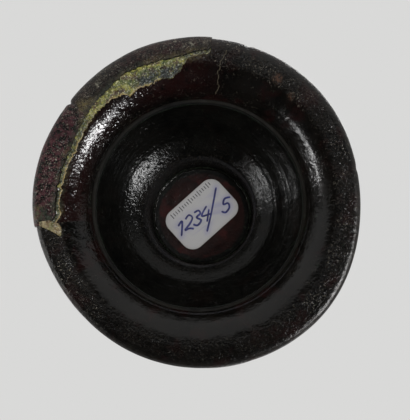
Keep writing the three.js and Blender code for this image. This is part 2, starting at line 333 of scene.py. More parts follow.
def store(piece, name, values):
    attribute = piece.data.attributes.new(name, "FLOAT", "POINT")
    attribute.data.foreach_set("value", np.ascontiguousarray(values, np.float32).ravel())


def smooth_but_edges(piece, degrees=50):
    piece.data.shade_smooth()
    piece.data.set_sharp_from_angle(angle=radians(degrees))


# Shader nodes, written as nested calls
def linear(colour):
    """A screen colour as linear light."""
    return [c / 255 / 12.92 if c <= 10.31 else ((c / 255 + 0.055) / 1.055) ** 2.4 for c in colour]


class Shader:
    """The nodes of a material or world, made by calls. An input is a number, a colour or a socket."""

    def __init__(self, owner):
        self.owner = owner
        owner.use_nodes = True
        self.tree = owner.node_tree
        self.tree.nodes.clear()
        self.place = self.node("TexCoord", output="Object")

    def put(self, socket, value):
        if isinstance(value, bpy.types.NodeSocket):
            self.tree.links.new(value, socket)
        elif value is not None:
            socket.default_value = (*linear(value), 1) if socket.type == "RGBA" else value

    def node(self, kind, inputs=None, output=0, **settings):
        made = self.tree.nodes.new("ShaderNode" + kind)
        for key, value in settings.items():
            setattr(made, key, value)
        for key, value in (inputs or {}).items():
            self.put(made.inputs[key], value)
        return made.outputs[output]

    def math(self, operation, a, b=0.0):
        return self.node("Math", {0: a, 1: b}, operation=operation)

    def add(self, *terms):
        return reduce(lambda a, b: self.math("ADD", a, b), terms)

    def times(self, *factors):
        return reduce(lambda a, b: self.math("MULTIPLY", a, b), factors)

    def most(self, *values):
        return reduce(lambda a, b: self.math("MAXIMUM", a, b), values)

    def mark(self, name):
        return self.node("Attribute", attribute_name=name, output="Fac")

    def noise(self, size, detail=3, roughness=0.55, low=None, high=None, distortion=0, place=None):
        """Noise from 0 to 1 with lumps of about this many millimetres, or a step of it from low to high."""
        value = self.node("TexNoise", {
            "Vector": place or self.place, "Scale": 1 / (size * MM), "Detail": detail,
            "Roughness": roughness, "Distortion": distortion,
        }, output="Fac")
        return value if low is None else self.step(value, low, high)

    def step(self, value, low, high):
        """0 below low and 1 above high, with a smooth rise. low may be above high."""
        return self.node("MapRange", {
            "Value": value, "From Min": min(low, high), "From Max": max(low, high),
            "To Min": float(low > high), "To Max": float(low < high),
        }, interpolation_type="SMOOTHSTEP")

    def mix(self, share, a, b):
        """Two colours mixed. The node keeps its colours in inputs 6 and 7 and in output 2."""
        return self.node("Mix", {0: share, 6: a, 7: b}, output=2, data_type="RGBA")

    def blend(self, share, a, b):
        """The same mix for plain numbers."""
        return self.node("MapRange", {"Value": share, "To Min": a, "To Max": b})

    def layered(self, tone, *layers):
        """A tone under layers, each a share and a colour."""
        for share, colour in layers:
            tone = self.mix(share, tone, colour)
        return tone

    def bumps(self, *layers):
        """Bumps on bumps, each a texture, its height in millimetres and a strength."""
        normal = None
        for texture, height, strength in layers:
            normal = self.node("Bump", {
                "Height": texture, "Distance": height * MM, "Strength": strength, "Normal": normal})
        return normal

    def end(self, shader, kind="OutputMaterial"):
        self.tree.links.new(shader, self.tree.nodes.new("ShaderNode" + kind).inputs["Surface"])
        return self.owner

    def finish(self, **inputs):
        named = {key.replace("_", " "): value for key, value in inputs.items()}
        return self.end(self.node("BsdfPrincipled", named))


def new_shader(name):
    return Shader(bpy.data.materials.new(name))


def bronze_specks(s, broad, mottled):
    """Pale specks and crumbs, partly real grit and partly painted glints, and more painted glints where the
    bronze is mottled.
    """
    specks = s.times(s.noise(0.7, 4, 0.75, 0.57, 0.64), s.noise(5, 3, 0.55, 0.45, 0.62))
    crumbs = s.times(s.noise(1.4, 4, 0.75, 0.62, 0.67), s.noise(6, 2, 0.55, 0.45, 0.6))
    # Painted glints: pale specks where the bronze is mottled
    painted_glints = s.times(s.noise(0.45, 3, 0.7, 0.58, 0.64), s.step(broad, 0.4, 0.6), mottled)
    allowed = s.times(s.blend(s.mark("grit"), 0.2, 1.0), s.blend(s.mark("quiet"), 1.0, 0.2))
    return s.times(s.most(specks, crumbs, painted_glints), allowed)


def bronze_bumps(s, lively, grain, specks):
    drawn_out = s.node("Mapping", {
        "Vector": s.place, "Rotation": (0, 0, radians(-28)), "Scale": (1 / 3.2, 1, 1)})
    cells = s.node("TexVoronoi", {"Vector": s.place, "Scale": 1 / MM}, output="Distance")
    grains = s.times(s.step(cells, 0.55, 0.0), s.noise(2.8, 3, 0.6, 0.42, 0.58))
    return s.bumps(
        (s.noise(0.8, 3, 0.6), 0.12, s.blend(lively, 0.15, 0.5 * grain)),
        (s.noise(1.0, 2, 0.5, place=drawn_out), 0.2, s.blend(lively, 0.1, 0.5 * grain)),
        (s.noise(2.6, 2, 0.5), 0.4, s.blend(lively, 0.2, 0.4 * grain)),
        (grains, 0.14, s.times(lively, 0.6 * grain)),
        (s.noise(1.0, 3, 0.65), 0.5, s.times(s.mark("grit"), s.blend(s.mark("quiet"), 0.8, 0.45))),
        (specks, 0.08, 0.6))


def bronze(name, dark, light, red, red_share=0.8, roughness=0.22, verdigris=0.3, speck=0.3, grain=1.0,
           rub=(60, 54, 46), rub_share=0.5, rub_metal=0.4, specular=0.3, mottled=0.0, edge_rough=0.3,
           hazy=0.1):
    """Old waxed bronze, which is worn, dirty, red or stained where the marks on its mesh say so, and darkened
    by painted shade where a mark asks for it. Some of its pale specks are painted glints.
    """
    s = new_shader(name)
    broad = s.noise(14, 5, 0.6)
    mottle = s.noise(2.4, 4, 0.6)
    grit, calm, worn, sheltered = (s.mark(mark) for mark in ("grit", "calm", "worn", "sheltered"))
    specks = bronze_specks(s, broad, mottled)
    rubbed = s.times(s.step(worn, 0.15, 0.7), s.step(mottle, 0.3, 0.6))
    stained = s.times(s.mark("stain"), s.noise(1.2, 5, 0.75, 0.4, 0.56))
    reddish = s.times(s.noise(9, 3, 0.6, 0.5, 0.7, distortion=0.4), red_share)
    gritty = s.times(grit, s.blend(s.mark("quiet"), 1.0, 0.4), s.noise(0.8, 4, 0.8, 0.52, 0.66))
    green = s.step(s.add(s.times(sheltered, 0.4), s.noise(3.2, 5, 0.65)), 0.62, 0.8)
    tone = s.layered(
        s.mix(s.step(s.add(broad, s.times(mottle, 0.5)), 0.55, 0.95), dark, light),
        (s.most(reddish, s.times(s.mark("cast"), s.step(mottle, 0.25, 0.5))), red),
        (s.times(s.noise(1.9, 5, 0.78, 0.45, 0.54), mottled), (8, 7, 7)),
        (s.mark("outside"), s.mix(mottle, (24, 20, 17), (44, 37, 30))),
        # Pale specks: partly real grit, partly painted glints
        (s.times(specks, speck), (168, 160, 142)),
        (s.times(gritty, 0.5), (70, 62, 52)),
        (s.times(rubbed, rub_share), rub),
        (s.times(s.mark("crest"), s.step(broad, 0.35, 0.6)), (30, 28, 22)),
        (s.times(green, verdigris), (58, 74, 56)),
        (stained, s.mix(s.step(broad, 0.45, 0.6), (60, 68, 52), (110, 98, 58))),
        (s.times(s.mark("pale_spot"), s.noise(0.8, 4, 0.7, 0.44, 0.56), 0.75), (142, 138, 122)),
        (s.times(s.mark("brown_chip"), s.noise(1.1, 4, 0.7, 0.4, 0.55), 0.7), (108, 78, 62)),
        # Painted shade: near-black at the disc's edge, in its corner with the well's wall, with some green
        # patina
        (s.step(s.add(s.mark("corroded"), s.times(mottle, 0.9)), 0.75, 1.05),
         s.mix(s.noise(0.9, 4, 0.7, 0.5, 0.65), (11, 12, 9), (36, 38, 28))),
        (s.times(s.mark("hairline"), s.step(mottle, 0.2, 0.55)), (104, 96, 80)))
    rough = s.add(
        s.blend(mottle, roughness - 0.03, roughness + 0.07),
        s.times(s.add(grit, s.times(stained, 3.0)), 0.06),
        s.times(s.noise(6, 4, 0.65, 0.4, 0.65), calm, hazy),
        s.times(s.add(worn, sheltered), edge_rough),
        s.times(s.mark("crest"), 0.65))
    return s.finish(
        Base_Color=tone, Roughness=rough, Metallic=s.times(rubbed, rub_metal), Specular_IOR_Level=specular,
        Normal=bronze_bumps(s, s.math("SUBTRACT", 1.0, calm), grain, specks))


def crumbly_filler(name, dark, light, fleck):
    """Crumbly filler and broken metal, with dark green hollows and a pale gold edge."""
    s = new_shader(name)
    lumps = s.noise(1.4, 5, 0.7)
    hollow = s.times(s.mark("hollow"), s.noise(2.0, 4, 0.7, 0.36, 0.52))
    tone = s.layered(
        s.mix(s.step(lumps, 0.42, 0.58), dark, light),
        (s.times(s.noise(3.4, 3, 0.6, 0.5, 0.62), 0.6), (72, 98, 46)),
        (s.times(s.noise(2.6, 3, 0.6, 0.52, 0.6), 0.85), (84, 56, 36)),
        (hollow, (26, 34, 28)),
        (s.times(s.noise(1.1, 4, 0.7, 0.44, 0.36), 0.7), (30, 32, 14)),
        (s.noise(0.6, 4, 0.75, 0.56, 0.63), s.mix(hollow, fleck, (138, 152, 142))),
        (s.times(s.mark("rim"), s.step(lumps, 0.3, 0.5)), (204, 178, 118)))
    bumps = s.bumps((s.noise(0.6, 4, 0.7), 0.3, 0.7), (s.noise(1.8, 3, 0.6), 1.0, 1.0))
    return s.finish(
        Base_Color=tone, Roughness=s.blend(lumps, 0.12, 0.6), Normal=bumps, Specular_IOR_Level=0.45)


def paper():
    s = new_shader("label_paper")
    soft = s.noise(6, 4, 0.6)
    tone = s.layered(
        s.mix(soft, (208, 207, 210), (222, 220, 218)),
        (s.times(s.noise(1.1, 4, 0.7, 0.55, 0.8), 0.25), (176, 172, 160)),
        (s.times(s.mark("near_ink"), 0.6), (168, 166, 206)),
        (s.times(s.mark("border"), 0.4), (160, 152, 136)))
    bumps = s.bumps((s.noise(0.25, 3), 0.02, 0.6))
    return s.finish(Base_Color=tone, Roughness=s.blend(soft, 0.62, 0.8), Normal=bumps)


def ink(name, deep, pale, low, high):
    s = new_shader(name)
    flow = s.noise(1.0, 3, 0.6)
    tone = s.mix(s.step(flow, low, high), deep, pale)
    bumps = s.bumps((s.noise(0.2, 2), 0.01, 0.5))
    return s.finish(Base_Color=tone, Roughness=s.blend(flow, 0.4, 0.6), Normal=bumps)


# The broken foot
skirt_radius, _, skirt_top = span("foot_skirt")
lip_inner = skirt_radius - LIP_WIDTH
crease_edge = SKIRT_BORE - CREASE - 0.05  # the skirt meets the step in a shallow fold


def crack_radius(below):
    """The radius of the crack's middle line at an angle, or at each of several."""
    jag = waver(below * 0.55, 3.1) * 0.55 + waver(below * 1.7, 9.1) * 0.35
    return skirt_radius - LIP_WIDTH * read(BREAK_PATH, below) + jag


def skirt_curves():
    """The skirt's underside and its top, each run from the bore out to the middle of the edge."""
    edge = [skirt_radius, LIP_HEIGHT / 2]
    slope = turning_lines(sloped(SKIRT_SLOPES, 0, 90), 0.008, 0.6)
    lip = path(slope[-1], [skirt_radius - LIP_EDGE, 0], [skirt_radius, LIP_EDGE], edge)
    under = path(slope[0] + [-1.05, 1.6], slope[0] + [-0.6, 1.05], slope, soften(lip, 1.6, False)[1:])
    over = bend([SKIRT_BORE + SKIRT_LEDGE, skirt_top], SKIRT_TOP_TURN, [skirt_radius - LIP_EDGE, LIP_HEIGHT])
    over = engraved(over[::-1], [3.2, 4.6, -2.6])[::-1]
    top = path([crease_edge, skirt_top], over, [skirt_radius, LIP_HEIGHT - LIP_EDGE], edge)
    return under, soften(top, 0.5, False)


def worn_out_of_round(sections, angles, proud=0.0):
    """Moves the outer part of the foot in or out, more towards the edge, and bevels its worn side."""
    shift = sum(size * np.cos(waves * np.radians(angles - crest)) for waves, size, crest in OUT_OF_ROUND)
    for at, depth, width in NICKS:
        shift = shift - depth * np.exp(-(((angles - at) / width) ** 2))
    share = np.clip((sections[..., 0] - ROUND_INSIDE) / (skirt_radius - ROUND_INSIDE), 0, 1.05)
    share = share * share * (3 - 2 * np.minimum(share, 1))
    moved = sections.copy()
    moved[..., 0] += share * shift[:, None] + np.broadcast_to(proud, angles.shape)[:, None]
    turn = (angles - BROAD_BEVEL[0] + 180) % 360 - 180
    worn = limited(1 - (turn / BROAD_BEVEL[1]) ** 2) ** 0.5
    outside = limited((sections[..., 0] - skirt_radius + BEVEL_REACH) / BEVEL_REACH)
    low = limited(1 - sections[..., 1] / BEVEL_HEIGHT)
    moved[..., 1] += outside**1.6 * worn[:, None] * low * BEVEL_DEPTH
    return moved


def spots(sections, angles, places):
    """1 at the middle of each of these places, and 0 away from them."""
    radius, marked = sections[..., 0], 0
    for at, middle, size in places:
        away = np.hypot(np.radians(angles - at)[:, None] * radius, radius - middle)
        marked = np.maximum(marked, np.exp(-((away / size) ** 3)))
    return marked


def hairline(sections, angles):
    radius = sections[..., 0]
    jag = waver(radius * 0.9, 4.4) * 0.8 + waver(radius * 2.7, 8.4) * 0.4
    away = np.radians(angles[:, None] - read(HAIRLINE, radius) - jag) * radius
    return np.exp(-((away / 0.1) ** 2)) * ((radius > HAIRLINE[0][0]) & (radius < HAIRLINE[-1][0]))


def foot_marks(sections, angles):
    """What the foot's bronze shows where."""
    radius, height = sections[..., 0], sections[..., 1]
    grit = limited((radius - lip_inner + 1.2) / 2.0) * np.clip((5 - height) / 2, 0.3, 1)
    grit *= np.where(radius > skirt_radius - 2.6, 0.6, 1)
    reach = limited((angles - BREAK_START + 1) / 8) * limited((BREAK_END + 7 - angles) / 7)
    away = np.abs(radius - crack_radius(np.clip(angles, BREAK_PATH[0][0], BREAK_PATH[-1][0]))[:, None])
    stain = limited(1 - away / 2.4) * reach[:, None] * 0.8
    cast = np.max([limited(1 - ((angles - at) / half) ** 2) for at, half in RED_CASTS], axis=0)
    return {
        "grit": grit,
        "stain": np.maximum(stain, spots(sections, angles, STAINS)),
        "cast": cast[:, None] * limited((radius - 35) / 3),
        "calm": read(CALM, angles % 360)[:, None] * (1 - grit),
        "quiet": read(QUIET, angles % 360)[:, None],
        "pale_spot": spots(sections, angles, PALE_SPOTS),
        "brown_chip": spots(sections, angles, BROWN_CHIPS),
    }


def cut_skirt(angles, inner, outer, counts):
    """The skirt's section at each angle, cut to the stretch between two radii, and its marks."""
    under, top = skirt_curves()
    sections = np.array([
        np.vstack([between(under, *ends, counts[0]), between(top, *ends, counts[1])[::-1]])
        for ends in np.broadcast(inner, outer)
    ])
    outside = np.append(np.zeros(counts[0]), limited(np.arange(counts[1]) / 6))
    return sections, {"outside": outside, **foot_marks(sections, angles)}


def foot_skirt():
    whole = np.arange(BREAK_END - 360 + 0.05, BREAK_START - 0.05, 0.5)
    angles = np.sort(np.concatenate([
        whole[(whole < HAIR_FROM) | (whole > HAIR_TO)], np.arange(HAIR_FROM, HAIR_TO, 0.09),
        [BREAK_START - FRAGMENT_GAP], np.arange(BREAK_START, BREAK_END, 0.5), [BREAK_END],
    ]))
    broken = (angles >= BREAK_START) & (angles <= BREAK_END)
    reach = np.where(broken, crack_radius(angles) - BREAK_HALF, inf)
    sections, marks = cut_skirt(angles, 0, reach, SKIRT_POINTS)
    marks["hairline"] = hairline(sections, angles) * (sections[..., 1] < skirt_top - 2)
    sections = worn_out_of_round(sections, angles)
    return revolved("foot_skirt_worn", sections, angles, relief=0.08, marks=marks, seed=2)


def rim_fragment(letter, start, end, seed):
    start, end = start + FRAGMENT_GAP, end - FRAGMENT_GAP
    near = np.array([0, 0.15, 0.3, 0.5])
    angles = np.concatenate([start + near, np.arange(start + 0.75, end - 0.7, 0.4), end - near[::-1]])
    sections, marks = cut_skirt(angles, crack_radius(angles) + BREAK_HALF, inf, FRAGMENT_POINTS)
    sections = worn_out_of_round(sections, angles, np.interp(angles, (start, end), FRAGMENT_PROUD[letter]))
    # The broken ends are slightly smaller, so that their edges look rounded
    near_end = np.minimum(angles - start, end - angles)
    middle = sections.mean(axis=1, keepdims=True)
    sections = middle + (sections - middle) * (1 - 0.07 * np.exp(-near_end / 0.25))[:, None, None]
    return revolved(f"rim_fragment_{letter}_worn", sections, angles, whole=False, marks=marks, seed=seed)


def break_fill():
    """Filler between the fragments and the skirt, which also spreads over the skirt's underside."""
    under, top = skirt_curves()
    angles = np.arange(BREAK_START + 0.05, BREAK_END - 0.05, 0.25)
    share = np.linspace(0, 1, FILL_POINTS)
    unseen = np.zeros(2 * HIDDEN_POINTS)
    rows, hollow, rim = [], [], []
    for at in angles:
        middle = crack_radius(at)
        edge = middle + BREAK_HALF
        jag = waver(at * 0.22, 21.7) * 1.1 + waver(at * 0.8, 5.7) * 0.45
        spread = max(2 * BREAK_HALF + 0.12, read(FILL_SPREAD, at) * (1 + 0.16 * jag))
        face = between(under, edge - spread, edge, FILL_POINTS)
        along, radius = radians(at) * middle, face[:, 0]
        lumps = waver(along * 0.55, radius * 0.6, 3) + 0.6 * waver(along * 1.5, radius * 1.5, 7)
        ends = np.minimum(share * spread / 0.4, (1 - share) * spread / 0.3)
        depth = (0.25 + 0.45 * lumps) * limited(ends) ** 0.5
        lower = face - np.outer(np.maximum(depth, 0.02), [0, 1])
        hidden = between(under, edge - spread, middle - BREAK_HALF, HIDDEN_POINTS) + [0, 0.15]
        roof = between(top, middle - BREAK_HALF, edge, HIDDEN_POINTS) + [0, 0.1]
        rows.append(np.vstack([lower[::-1], hidden, roof]))
        low = limited((45.2 - radius) / 1.6) * limited((121 - at) / 6)
        low = np.maximum(low, np.clip(max((at - 141) / 4, (97 - at) / 3), 0, 0.75))
        hollow.append(np.append(low[::-1], unseen))
        pale = np.exp(-((share * spread - 0.16) / 0.22) ** 2) * read(PALE_EDGE, at)
        rim.append(np.append(pale[::-1], unseen))
    sections = worn_out_of_round(np.array(rows), angles)
    marks = {"hollow": np.array(hollow), "rim": np.array(rim)}
    return revolved("break_fill_crumbled", sections, angles, whole=False, marks=marks, seed=11)


def filler_flake():
    under, _ = skirt_curves()
    degrees, inner, outer = zip(*FLAKE)
    angles = np.linspace(degrees[0], degrees[-1], 24)
    swell = np.sin(np.pi * np.clip(np.linspace(0, 1, FLAKE_POINTS), 0.02, 0.98)) ** 0.4
    rows = []
    for at in angles:
        jag = waver(at * 2.1, 2.7) * 0.5
        ends = np.interp(at, degrees, inner) - jag, np.interp(at, degrees, outer) + jag
        face = between(under, *ends, FLAKE_POINTS)
        depth = (0.4 + 0.4 * waver(at * 1.2, face[:, 0] * 1.4, 9)) * swell
        rows.append(np.vstack([(face - np.outer(depth, [0, 1]))[::-1], face + [0, 0.12]]))
    sections = worn_out_of_round(np.array(rows), angles)
    marks = {"rim": 0.25, "hollow": 0.0}
    return revolved("filler_flake", sections, angles, whole=False, relief=0.15, marks=marks, seed=12)


# The rest of the turned pieces
def foot_step():
    flange_radius, ridge_bottom, stem_top = span("foot_step")
    _, floor, disc_top = span("base_disc")
    ridge = SKIRT_BORE - CREASE
    flange_bottom = skirt_top + JOINT
    cove = bend([ridge, flange_bottom + FLANGE_HEIGHT], [STEM_RADIUS + COVE_REACH, COVE_HEIGHT],
                [STEM_RADIUS, STEM_ROOT_HEIGHT])
    cove = engraved(cove, [1.2, 2.6, -3.0], width=0.4)
    hollow = turning_lines(respaced(sloped(HOLLOW_SLOPES, FUNNEL_HEIGHT, 160), 260), 0.06, 1.3)
    fillet = bend([WELL_RADIUS - 0.8, floor - 0.05], [WELL_RADIUS + 0.1, floor - 0.4],
                  [WELL_RADIUS + 0.15, floor - 1.6])
    section = closed_section([
        [ridge, ridge_bottom], [ridge, flange_bottom], [flange_radius, flange_bottom],
        [flange_radius, flange_bottom + FLANGE_HEIGHT], cove,
        [STEM_RADIUS, stem_top], [STEM_BORE, stem_top], [STEM_BORE, disc_top + JOINT],
        [WELL_RADIUS, disc_top + JOINT], [WELL_RADIUS, floor + 0.2], [WELL_RADIUS - 0.8, floor + 0.2],
        fillet, hollow, [ridge - RIDGE_WIDTH, ridge_bottom + 0.25], [ridge - RIDGE_WIDTH * 0.7, ridge_bottom],
    ], 0.15, 0.265, lambda r, z: (z > STEM_ROOT_HEIGHT) & ((r > WELL_RADIUS + 1) | (z > floor)))
    radius, height = section.T
    in_hollow = radius < read(STEP_SPLIT, height)
    share = in_hollow * np.interp(height, [10, 15, 22, 26], [0, 1, 1, 0])
    shift = SHOULDER_SHIFT * (1 + np.cos(np.radians(ALL_ROUND))) / 2
    sections = section - np.multiply.outer(shift[:, None] * share, [1, 0])
    marks = {
        "calm": np.maximum(read(CALM, ALL_ROUND)[:, None], np.interp(height, [15.5, 19], [0.85, 0])),
        "outside": ~in_hollow,
        "crest": np.exp(-(((radius - ridge + 0.7) / 0.9) ** 2)) * (height < ridge_bottom + 1.2),
        "grit": np.interp(height, [18, 20.5, 23], [0.04, 0.2, 0.75]) * in_hollow,
    }
    return revolved("foot_step_turned", sections, seed=3, marks=marks)


def base_disc():
    radius, floor, top = span("base_disc")
    rings = np.linspace(0.02, radius - 0.4, 60)
    under = np.stack([rings, floor + waver(rings * 0.35, 2.2) * 0.12], 1)
    section = path([radius, top], [0.02, top], under[0], under, [radius, floor + 0.3])
    # Painted shade where the disc meets the well's wall: its outer 3 mm turn near-black, with some green
    # patina
    marks = {"corroded": np.interp(section[:, 0], [radius - 3, radius - 0.3], [0, 1])}
    return revolved("base_disc_dished", section, seed=4, marks=marks)


bowl_radius, _, waist = span("bowl_lower")


def bowl_curves(depth, seat, seat_radius, bore):
    """The outside and the inside of half the bowl, from the waist to its seat."""
    side = copysign(1, seat - waist)
    inside, rise = bowl_radius - BOWL_WALL, abs(seat - waist) - BOWL_WALL
    inner_end = acos(bore / inside)
    outer = arc([0, waist], [bowl_radius, side * depth], 0, acos(seat_radius / bowl_radius), 60)
    return outer, arc([0, waist], [inside, side * rise / sin(inner_end)], 0, inner_end, 60)


def bowl_half(name, parts, depth, seed):
    """Half the bowl. It is plain within an ellipse slightly smaller than its outside."""
    section = closed_section(
        parts, 0.35, 0.4, lambda r, z: (r / bowl_radius) ** 2 + ((z - waist) / depth) ** 2 < 0.93)
    return revolved(name, section, relief=0.28, seed=seed)


def bowl_lower():
    seat = span("bowl_lower")[1]
    outer, inner = bowl_curves(LOWER_DEPTH, seat, LOWER_SEAT_RADIUS, STEM_BORE)
    rebate, rebate_foot = bowl_radius - BOWL_WALL, waist - LAP_HEIGHT - JOINT
    outside = engraved(outer[::-1], [2.2, 3.8, 15.5, 17.0, 18.5, -7.2, -5.6], 0.35, 0.5)
    below = inner[inner[:, 1] < rebate_foot]
    return bowl_half("bowl_lower_cast", [
        outside, [rebate, waist], [rebate, rebate_foot], below, [STEM_BORE, seat]], LOWER_DEPTH, 6)


def bowl_upper():
    top = span("bowl_upper")[2]
    outer, inner = bowl_curves(UPPER_DEPTH, top, UPPER_SEAT_RADIUS, NECK_BORE)
    outer[0] = [bowl_radius, waist + JOINT]
    lap_outer = bowl_radius - BOWL_WALL - JOINT
    lap_inner = lap_outer - LAP_WALL
    outside = engraved(outer, [5.4, 7.0, 22.5, 24.0, 34.0, 35.5, -4.8, -3.2, -1.6], 0.35, 0.5)
    above = inner[inner[:, 0] < lap_inner][::-1]
    return bowl_half("bowl_upper_cast", [
        outside, [NECK_BORE, top], above, [lap_inner, waist + LAP_WALL],
        [lap_inner, waist - LAP_HEIGHT], [lap_outer, waist - LAP_HEIGHT], [lap_outer, waist + JOINT],
    ], UPPER_DEPTH, 7)


def ring(node, held, lines, seed):
    """A half-round ring round a piece of the radius held, with fine turned lines across it."""
    radius, bottom, top = span(node)
    bore = held + JOINT
    half = (top - bottom) / 2
    bulge = min(radius - bore, half)
    outside = arc([radius - bulge, bottom + half], [bulge, half], -pi / 2, pi / 2, 40)
    if lines:
        outside = engraved(outside, lines, 0.25, 0.3)
    section = closed_section([[bore, bottom], outside, [bore, top]], 0.2, 0.25)
    return revolved(node + "_turned", section, relief=0.1, seed=seed)


def neck():
    _, bottom, top = span("neck")
    turn = 2 * NECK_WAIST_RADIUS - (NECK_ROOT_RADIUS + NECK_TOP_RADIUS) / 2
    side = bend([NECK_ROOT_RADIUS, bottom], [turn, (bottom + top) / 2], [NECK_TOP_RADIUS, top])
    side = engraved(side, [9.0, 10.6, 14.8, 19.0, 20.6])
    section = closed_section([side, [NECK_BORE, top], [NECK_BORE, bottom]], 0.3, 0.35)
    return revolved("neck_turned", section, seed=13)


def mouth():
    radius, bottom, top = span("mouth")
    under_rim = top - MOUTH_WALL
    outside = bend([NECK_TOP_RADIUS, bottom], [NECK_TOP_RADIUS, under_rim], [radius, under_rim], 48)
    inside = engraved(parallel(outside, MOUTH_WALL)[1:-1][::-1], [3.0, 4.6, 14.0], width=0.5)
    outside = engraved(outside, [7.0, 8.6, -14.0, -12.4], width=0.5)
    section = closed_section(
        [outside, [radius, top], inside, [NECK_TOP_RADIUS - MOUTH_WALL, bottom]], 0.35, 0.45)
    return revolved("mouth_flared", section, relief=0.15, seed=14)


# Label and its writing. The label's own axes are u along it and v across it, seen from below.
disc_floor = span("base_disc")[1]
label_bottom = disc_floor - 0.28
LABEL_POINTS = 160
LABEL_INSETS = (0, 0.15, 0.5, 1.2, 2.2, 3.3, 4.0)
INK_WIDTH, INK_THICKNESS = 0.72, 0.05
TICK_LINE = (-8.0, 8.8, 6.1)  # first and last u, and v
TICK_COUNT, TICK_WIDTH = 18, 0.52
TICK_HALF_HEIGHTS = (0.95, 0.6, 0.6, 0.6)
# The strokes of the digits 1 to 5, each in a box one unit wide and high, and the middles of the boxes
DIGITS = [
    ([(0.2, 0.72), (0.55, 1), (0.5, 0)], (-8.6, 1)),
    ([(0.1, 0.75), (0.4, 1), (0.72, 0.78), (0.5, 0.4), (0.08, 0.02), (0.45, 0.08), (0.85, 0)], (-5, 0.8)),
    ([(0.12, 0.9), (0.5, 1), (0.68, 0.78), (0.35, 0.55), (0.75, 0.3), (0.45, 0), (0.05, 0.12)], (-1.9, 0)),
    ([(0.5, 1), (0.08, 0.38), (0.85, 0.42)], (1.2, -0.7)),
    ([(0.72, 0.75), (0.55, -0.1)], (1.2, -0.7)),
    ([(0.8, 1), (0.3, 0.95), (0.2, 0.58), (0.6, 0.6), (0.72, 0.28), (0.4, 0), (0.02, 0.12)], (8.2, -3.2)),
]
# The directions in which the digits run and stand
DIGIT_RUN = np.array([3.3, -2.0])
DIGIT_RISE = np.array([3.3, 3.7])
SLASH = [(-2.7, -5.6), (3.2, -1.4), (9.7, 3.6)]


def on_label(points, height, lift=1.0):
    """Points (u, v) in the vase's axes. The paper is flat, but curls a little at two corners."""
    turn = radians(LABEL_TURN)
    u, v = points.T
    curl = np.maximum(0, (u + v * 0.6) / 16 - 0.55) ** 2 + np.maximum(0, (-u - v) / 20 - 0.5) ** 2
    rise = curl * 1.6 + waver(u * 0.3, v * 0.3, 1) * 0.03
    across = u * sin(turn) - v * cos(turn) + LABEL_SHIFT
    return np.stack([u * cos(turn) + v * sin(turn), across, height - rise * lift], 1)


def label_outline(inset, steps=12):
    signs = np.repeat([(1, 1), (-1, 1), (-1, -1), (1, -1)], steps + 1, axis=0)
    turn = np.radians([90 * (corner + k / steps) for corner in range(4) for k in range(steps + 1)])
    middles = signs * (np.array([LABEL_LENGTH, LABEL_WIDTH]) / 2 - LABEL_CORNER)
    points = middles + (LABEL_CORNER - inset) * np.stack([np.cos(turn), np.sin(turn)], 1)
    return respaced(np.vstack([points, points[:1]]), LABEL_POINTS + 1)[:-1]


def label_paper(strokes):
    loops = [label_outline(inset) for inset in LABEL_INSETS]
    face, writing = np.vstack(loops), np.vstack(strokes)
    vertices = np.vstack([on_label(face, label_bottom), on_label(loops[0], disc_floor, 0.9)])
    edge = np.arange(LABEL_POINTS)
    back = edge + len(face)
    walls = np.stack([back, np.roll(back, -1), np.roll(edge, -1), edge], 1)
    quads = np.vstack([grid_faces(len(loops), LABEL_POINTS), walls]).tolist()
    piece = make_mesh("label_paper", vertices, [*quads, (back - LABEL_POINTS).tolist(), back[::-1].tolist()])
    border = np.repeat(np.exp(-np.array(LABEL_INSETS) / 0.35), LABEL_POINTS)
    away = np.array([size_of(writing - point).min() for point in face])
    store(piece, "border", np.append(border, np.ones(LABEL_POINTS)))
    store(piece, "near_ink", np.append(np.exp(-((away / 1.1) ** 2)), np.zeros(LABEL_POINTS)))
    smooth_but_edges(piece, 60)
    return piece


def smooth_line(points, steps=8):
    """A Catmull-Rom curve through the points."""
    p = np.array([points[0], *points, points[-1]], float)
    t = (np.arange(steps) / steps)[:, None]
    parts = []
    for a, b, c, d in zip(p, p[1:], p[2:], p[3:]):
        square, cube = 2 * a - 5 * b + 4 * c - d, 3 * b - a - 3 * c + d
        parts.append(0.5 * (2 * b + (c - a) * t + square * t**2 + cube * t**3))
    return np.vstack([*parts, p[-1]])


def handwriting():
    """The written strokes, each an array of (u, v): plain numbers and a long slash."""
    strokes = [SLASH]
    for stroke, place in DIGITS:
        strokes.append([place + DIGIT_RUN * (x - 0.45) + DIGIT_RISE * (y - 0.5) for x, y in stroke])
    return [smooth_line(stroke) for stroke in strokes]


def printed_ticks():
    """A row of plain ticks like those of a scale, along the label's upper edge."""
    start, end, v = TICK_LINE
    places, halves = np.linspace(start, end, TICK_COUNT), np.resize(TICK_HALF_HEIGHTS, TICK_COUNT)
    return [np.array([(u, v - half), (u, v + half)]) for u, half in zip(places, halves)]


def strokes_piece(name, lines, width):
    """Flat raised strokes with narrow ends."""
    across = np.array([-0.5, -0.32, 0.32, 0.5])[:, None] * width
    heights = label_bottom + 0.01 - INK_THICKNESS * np.array([0, 1, 1, 0])
    vertices, faces = np.empty((0, 3)), []
    for line in lines:
        run = np.gradient(line, axis=0)
        run /= np.maximum(size_of(run), 1e-9)[:, None]
        side = np.stack([-run[:, 1], run[:, 0]], 1)
        side[[0, -1]] *= 0.55
        points = (line[:, None] + side[:, None] * across).reshape(-1, 2)
        stroke = grid_faces(len(line), 4).tolist() + [[3, 2, 1, 0], [len(points) - k for k in (4, 3, 2, 1)]]
        faces += [[i + len(vertices) for i in face] for face in stroke]
        vertices = np.vstack([vertices, on_label(points, np.tile(heights, len(line)))])
    return make_mesh(name, vertices, faces)


def dress(piece, material, slot, *nodes):
    piece.data.materials.append(material)
    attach(piece, "root")
    if nodes:
        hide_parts(*nodes)


def dress_node(piece, material, slot):
    """Dresses the node whose name the piece has, with one word more."""
    dress(piece, material, slot, piece.name.rpartition("_")[0])


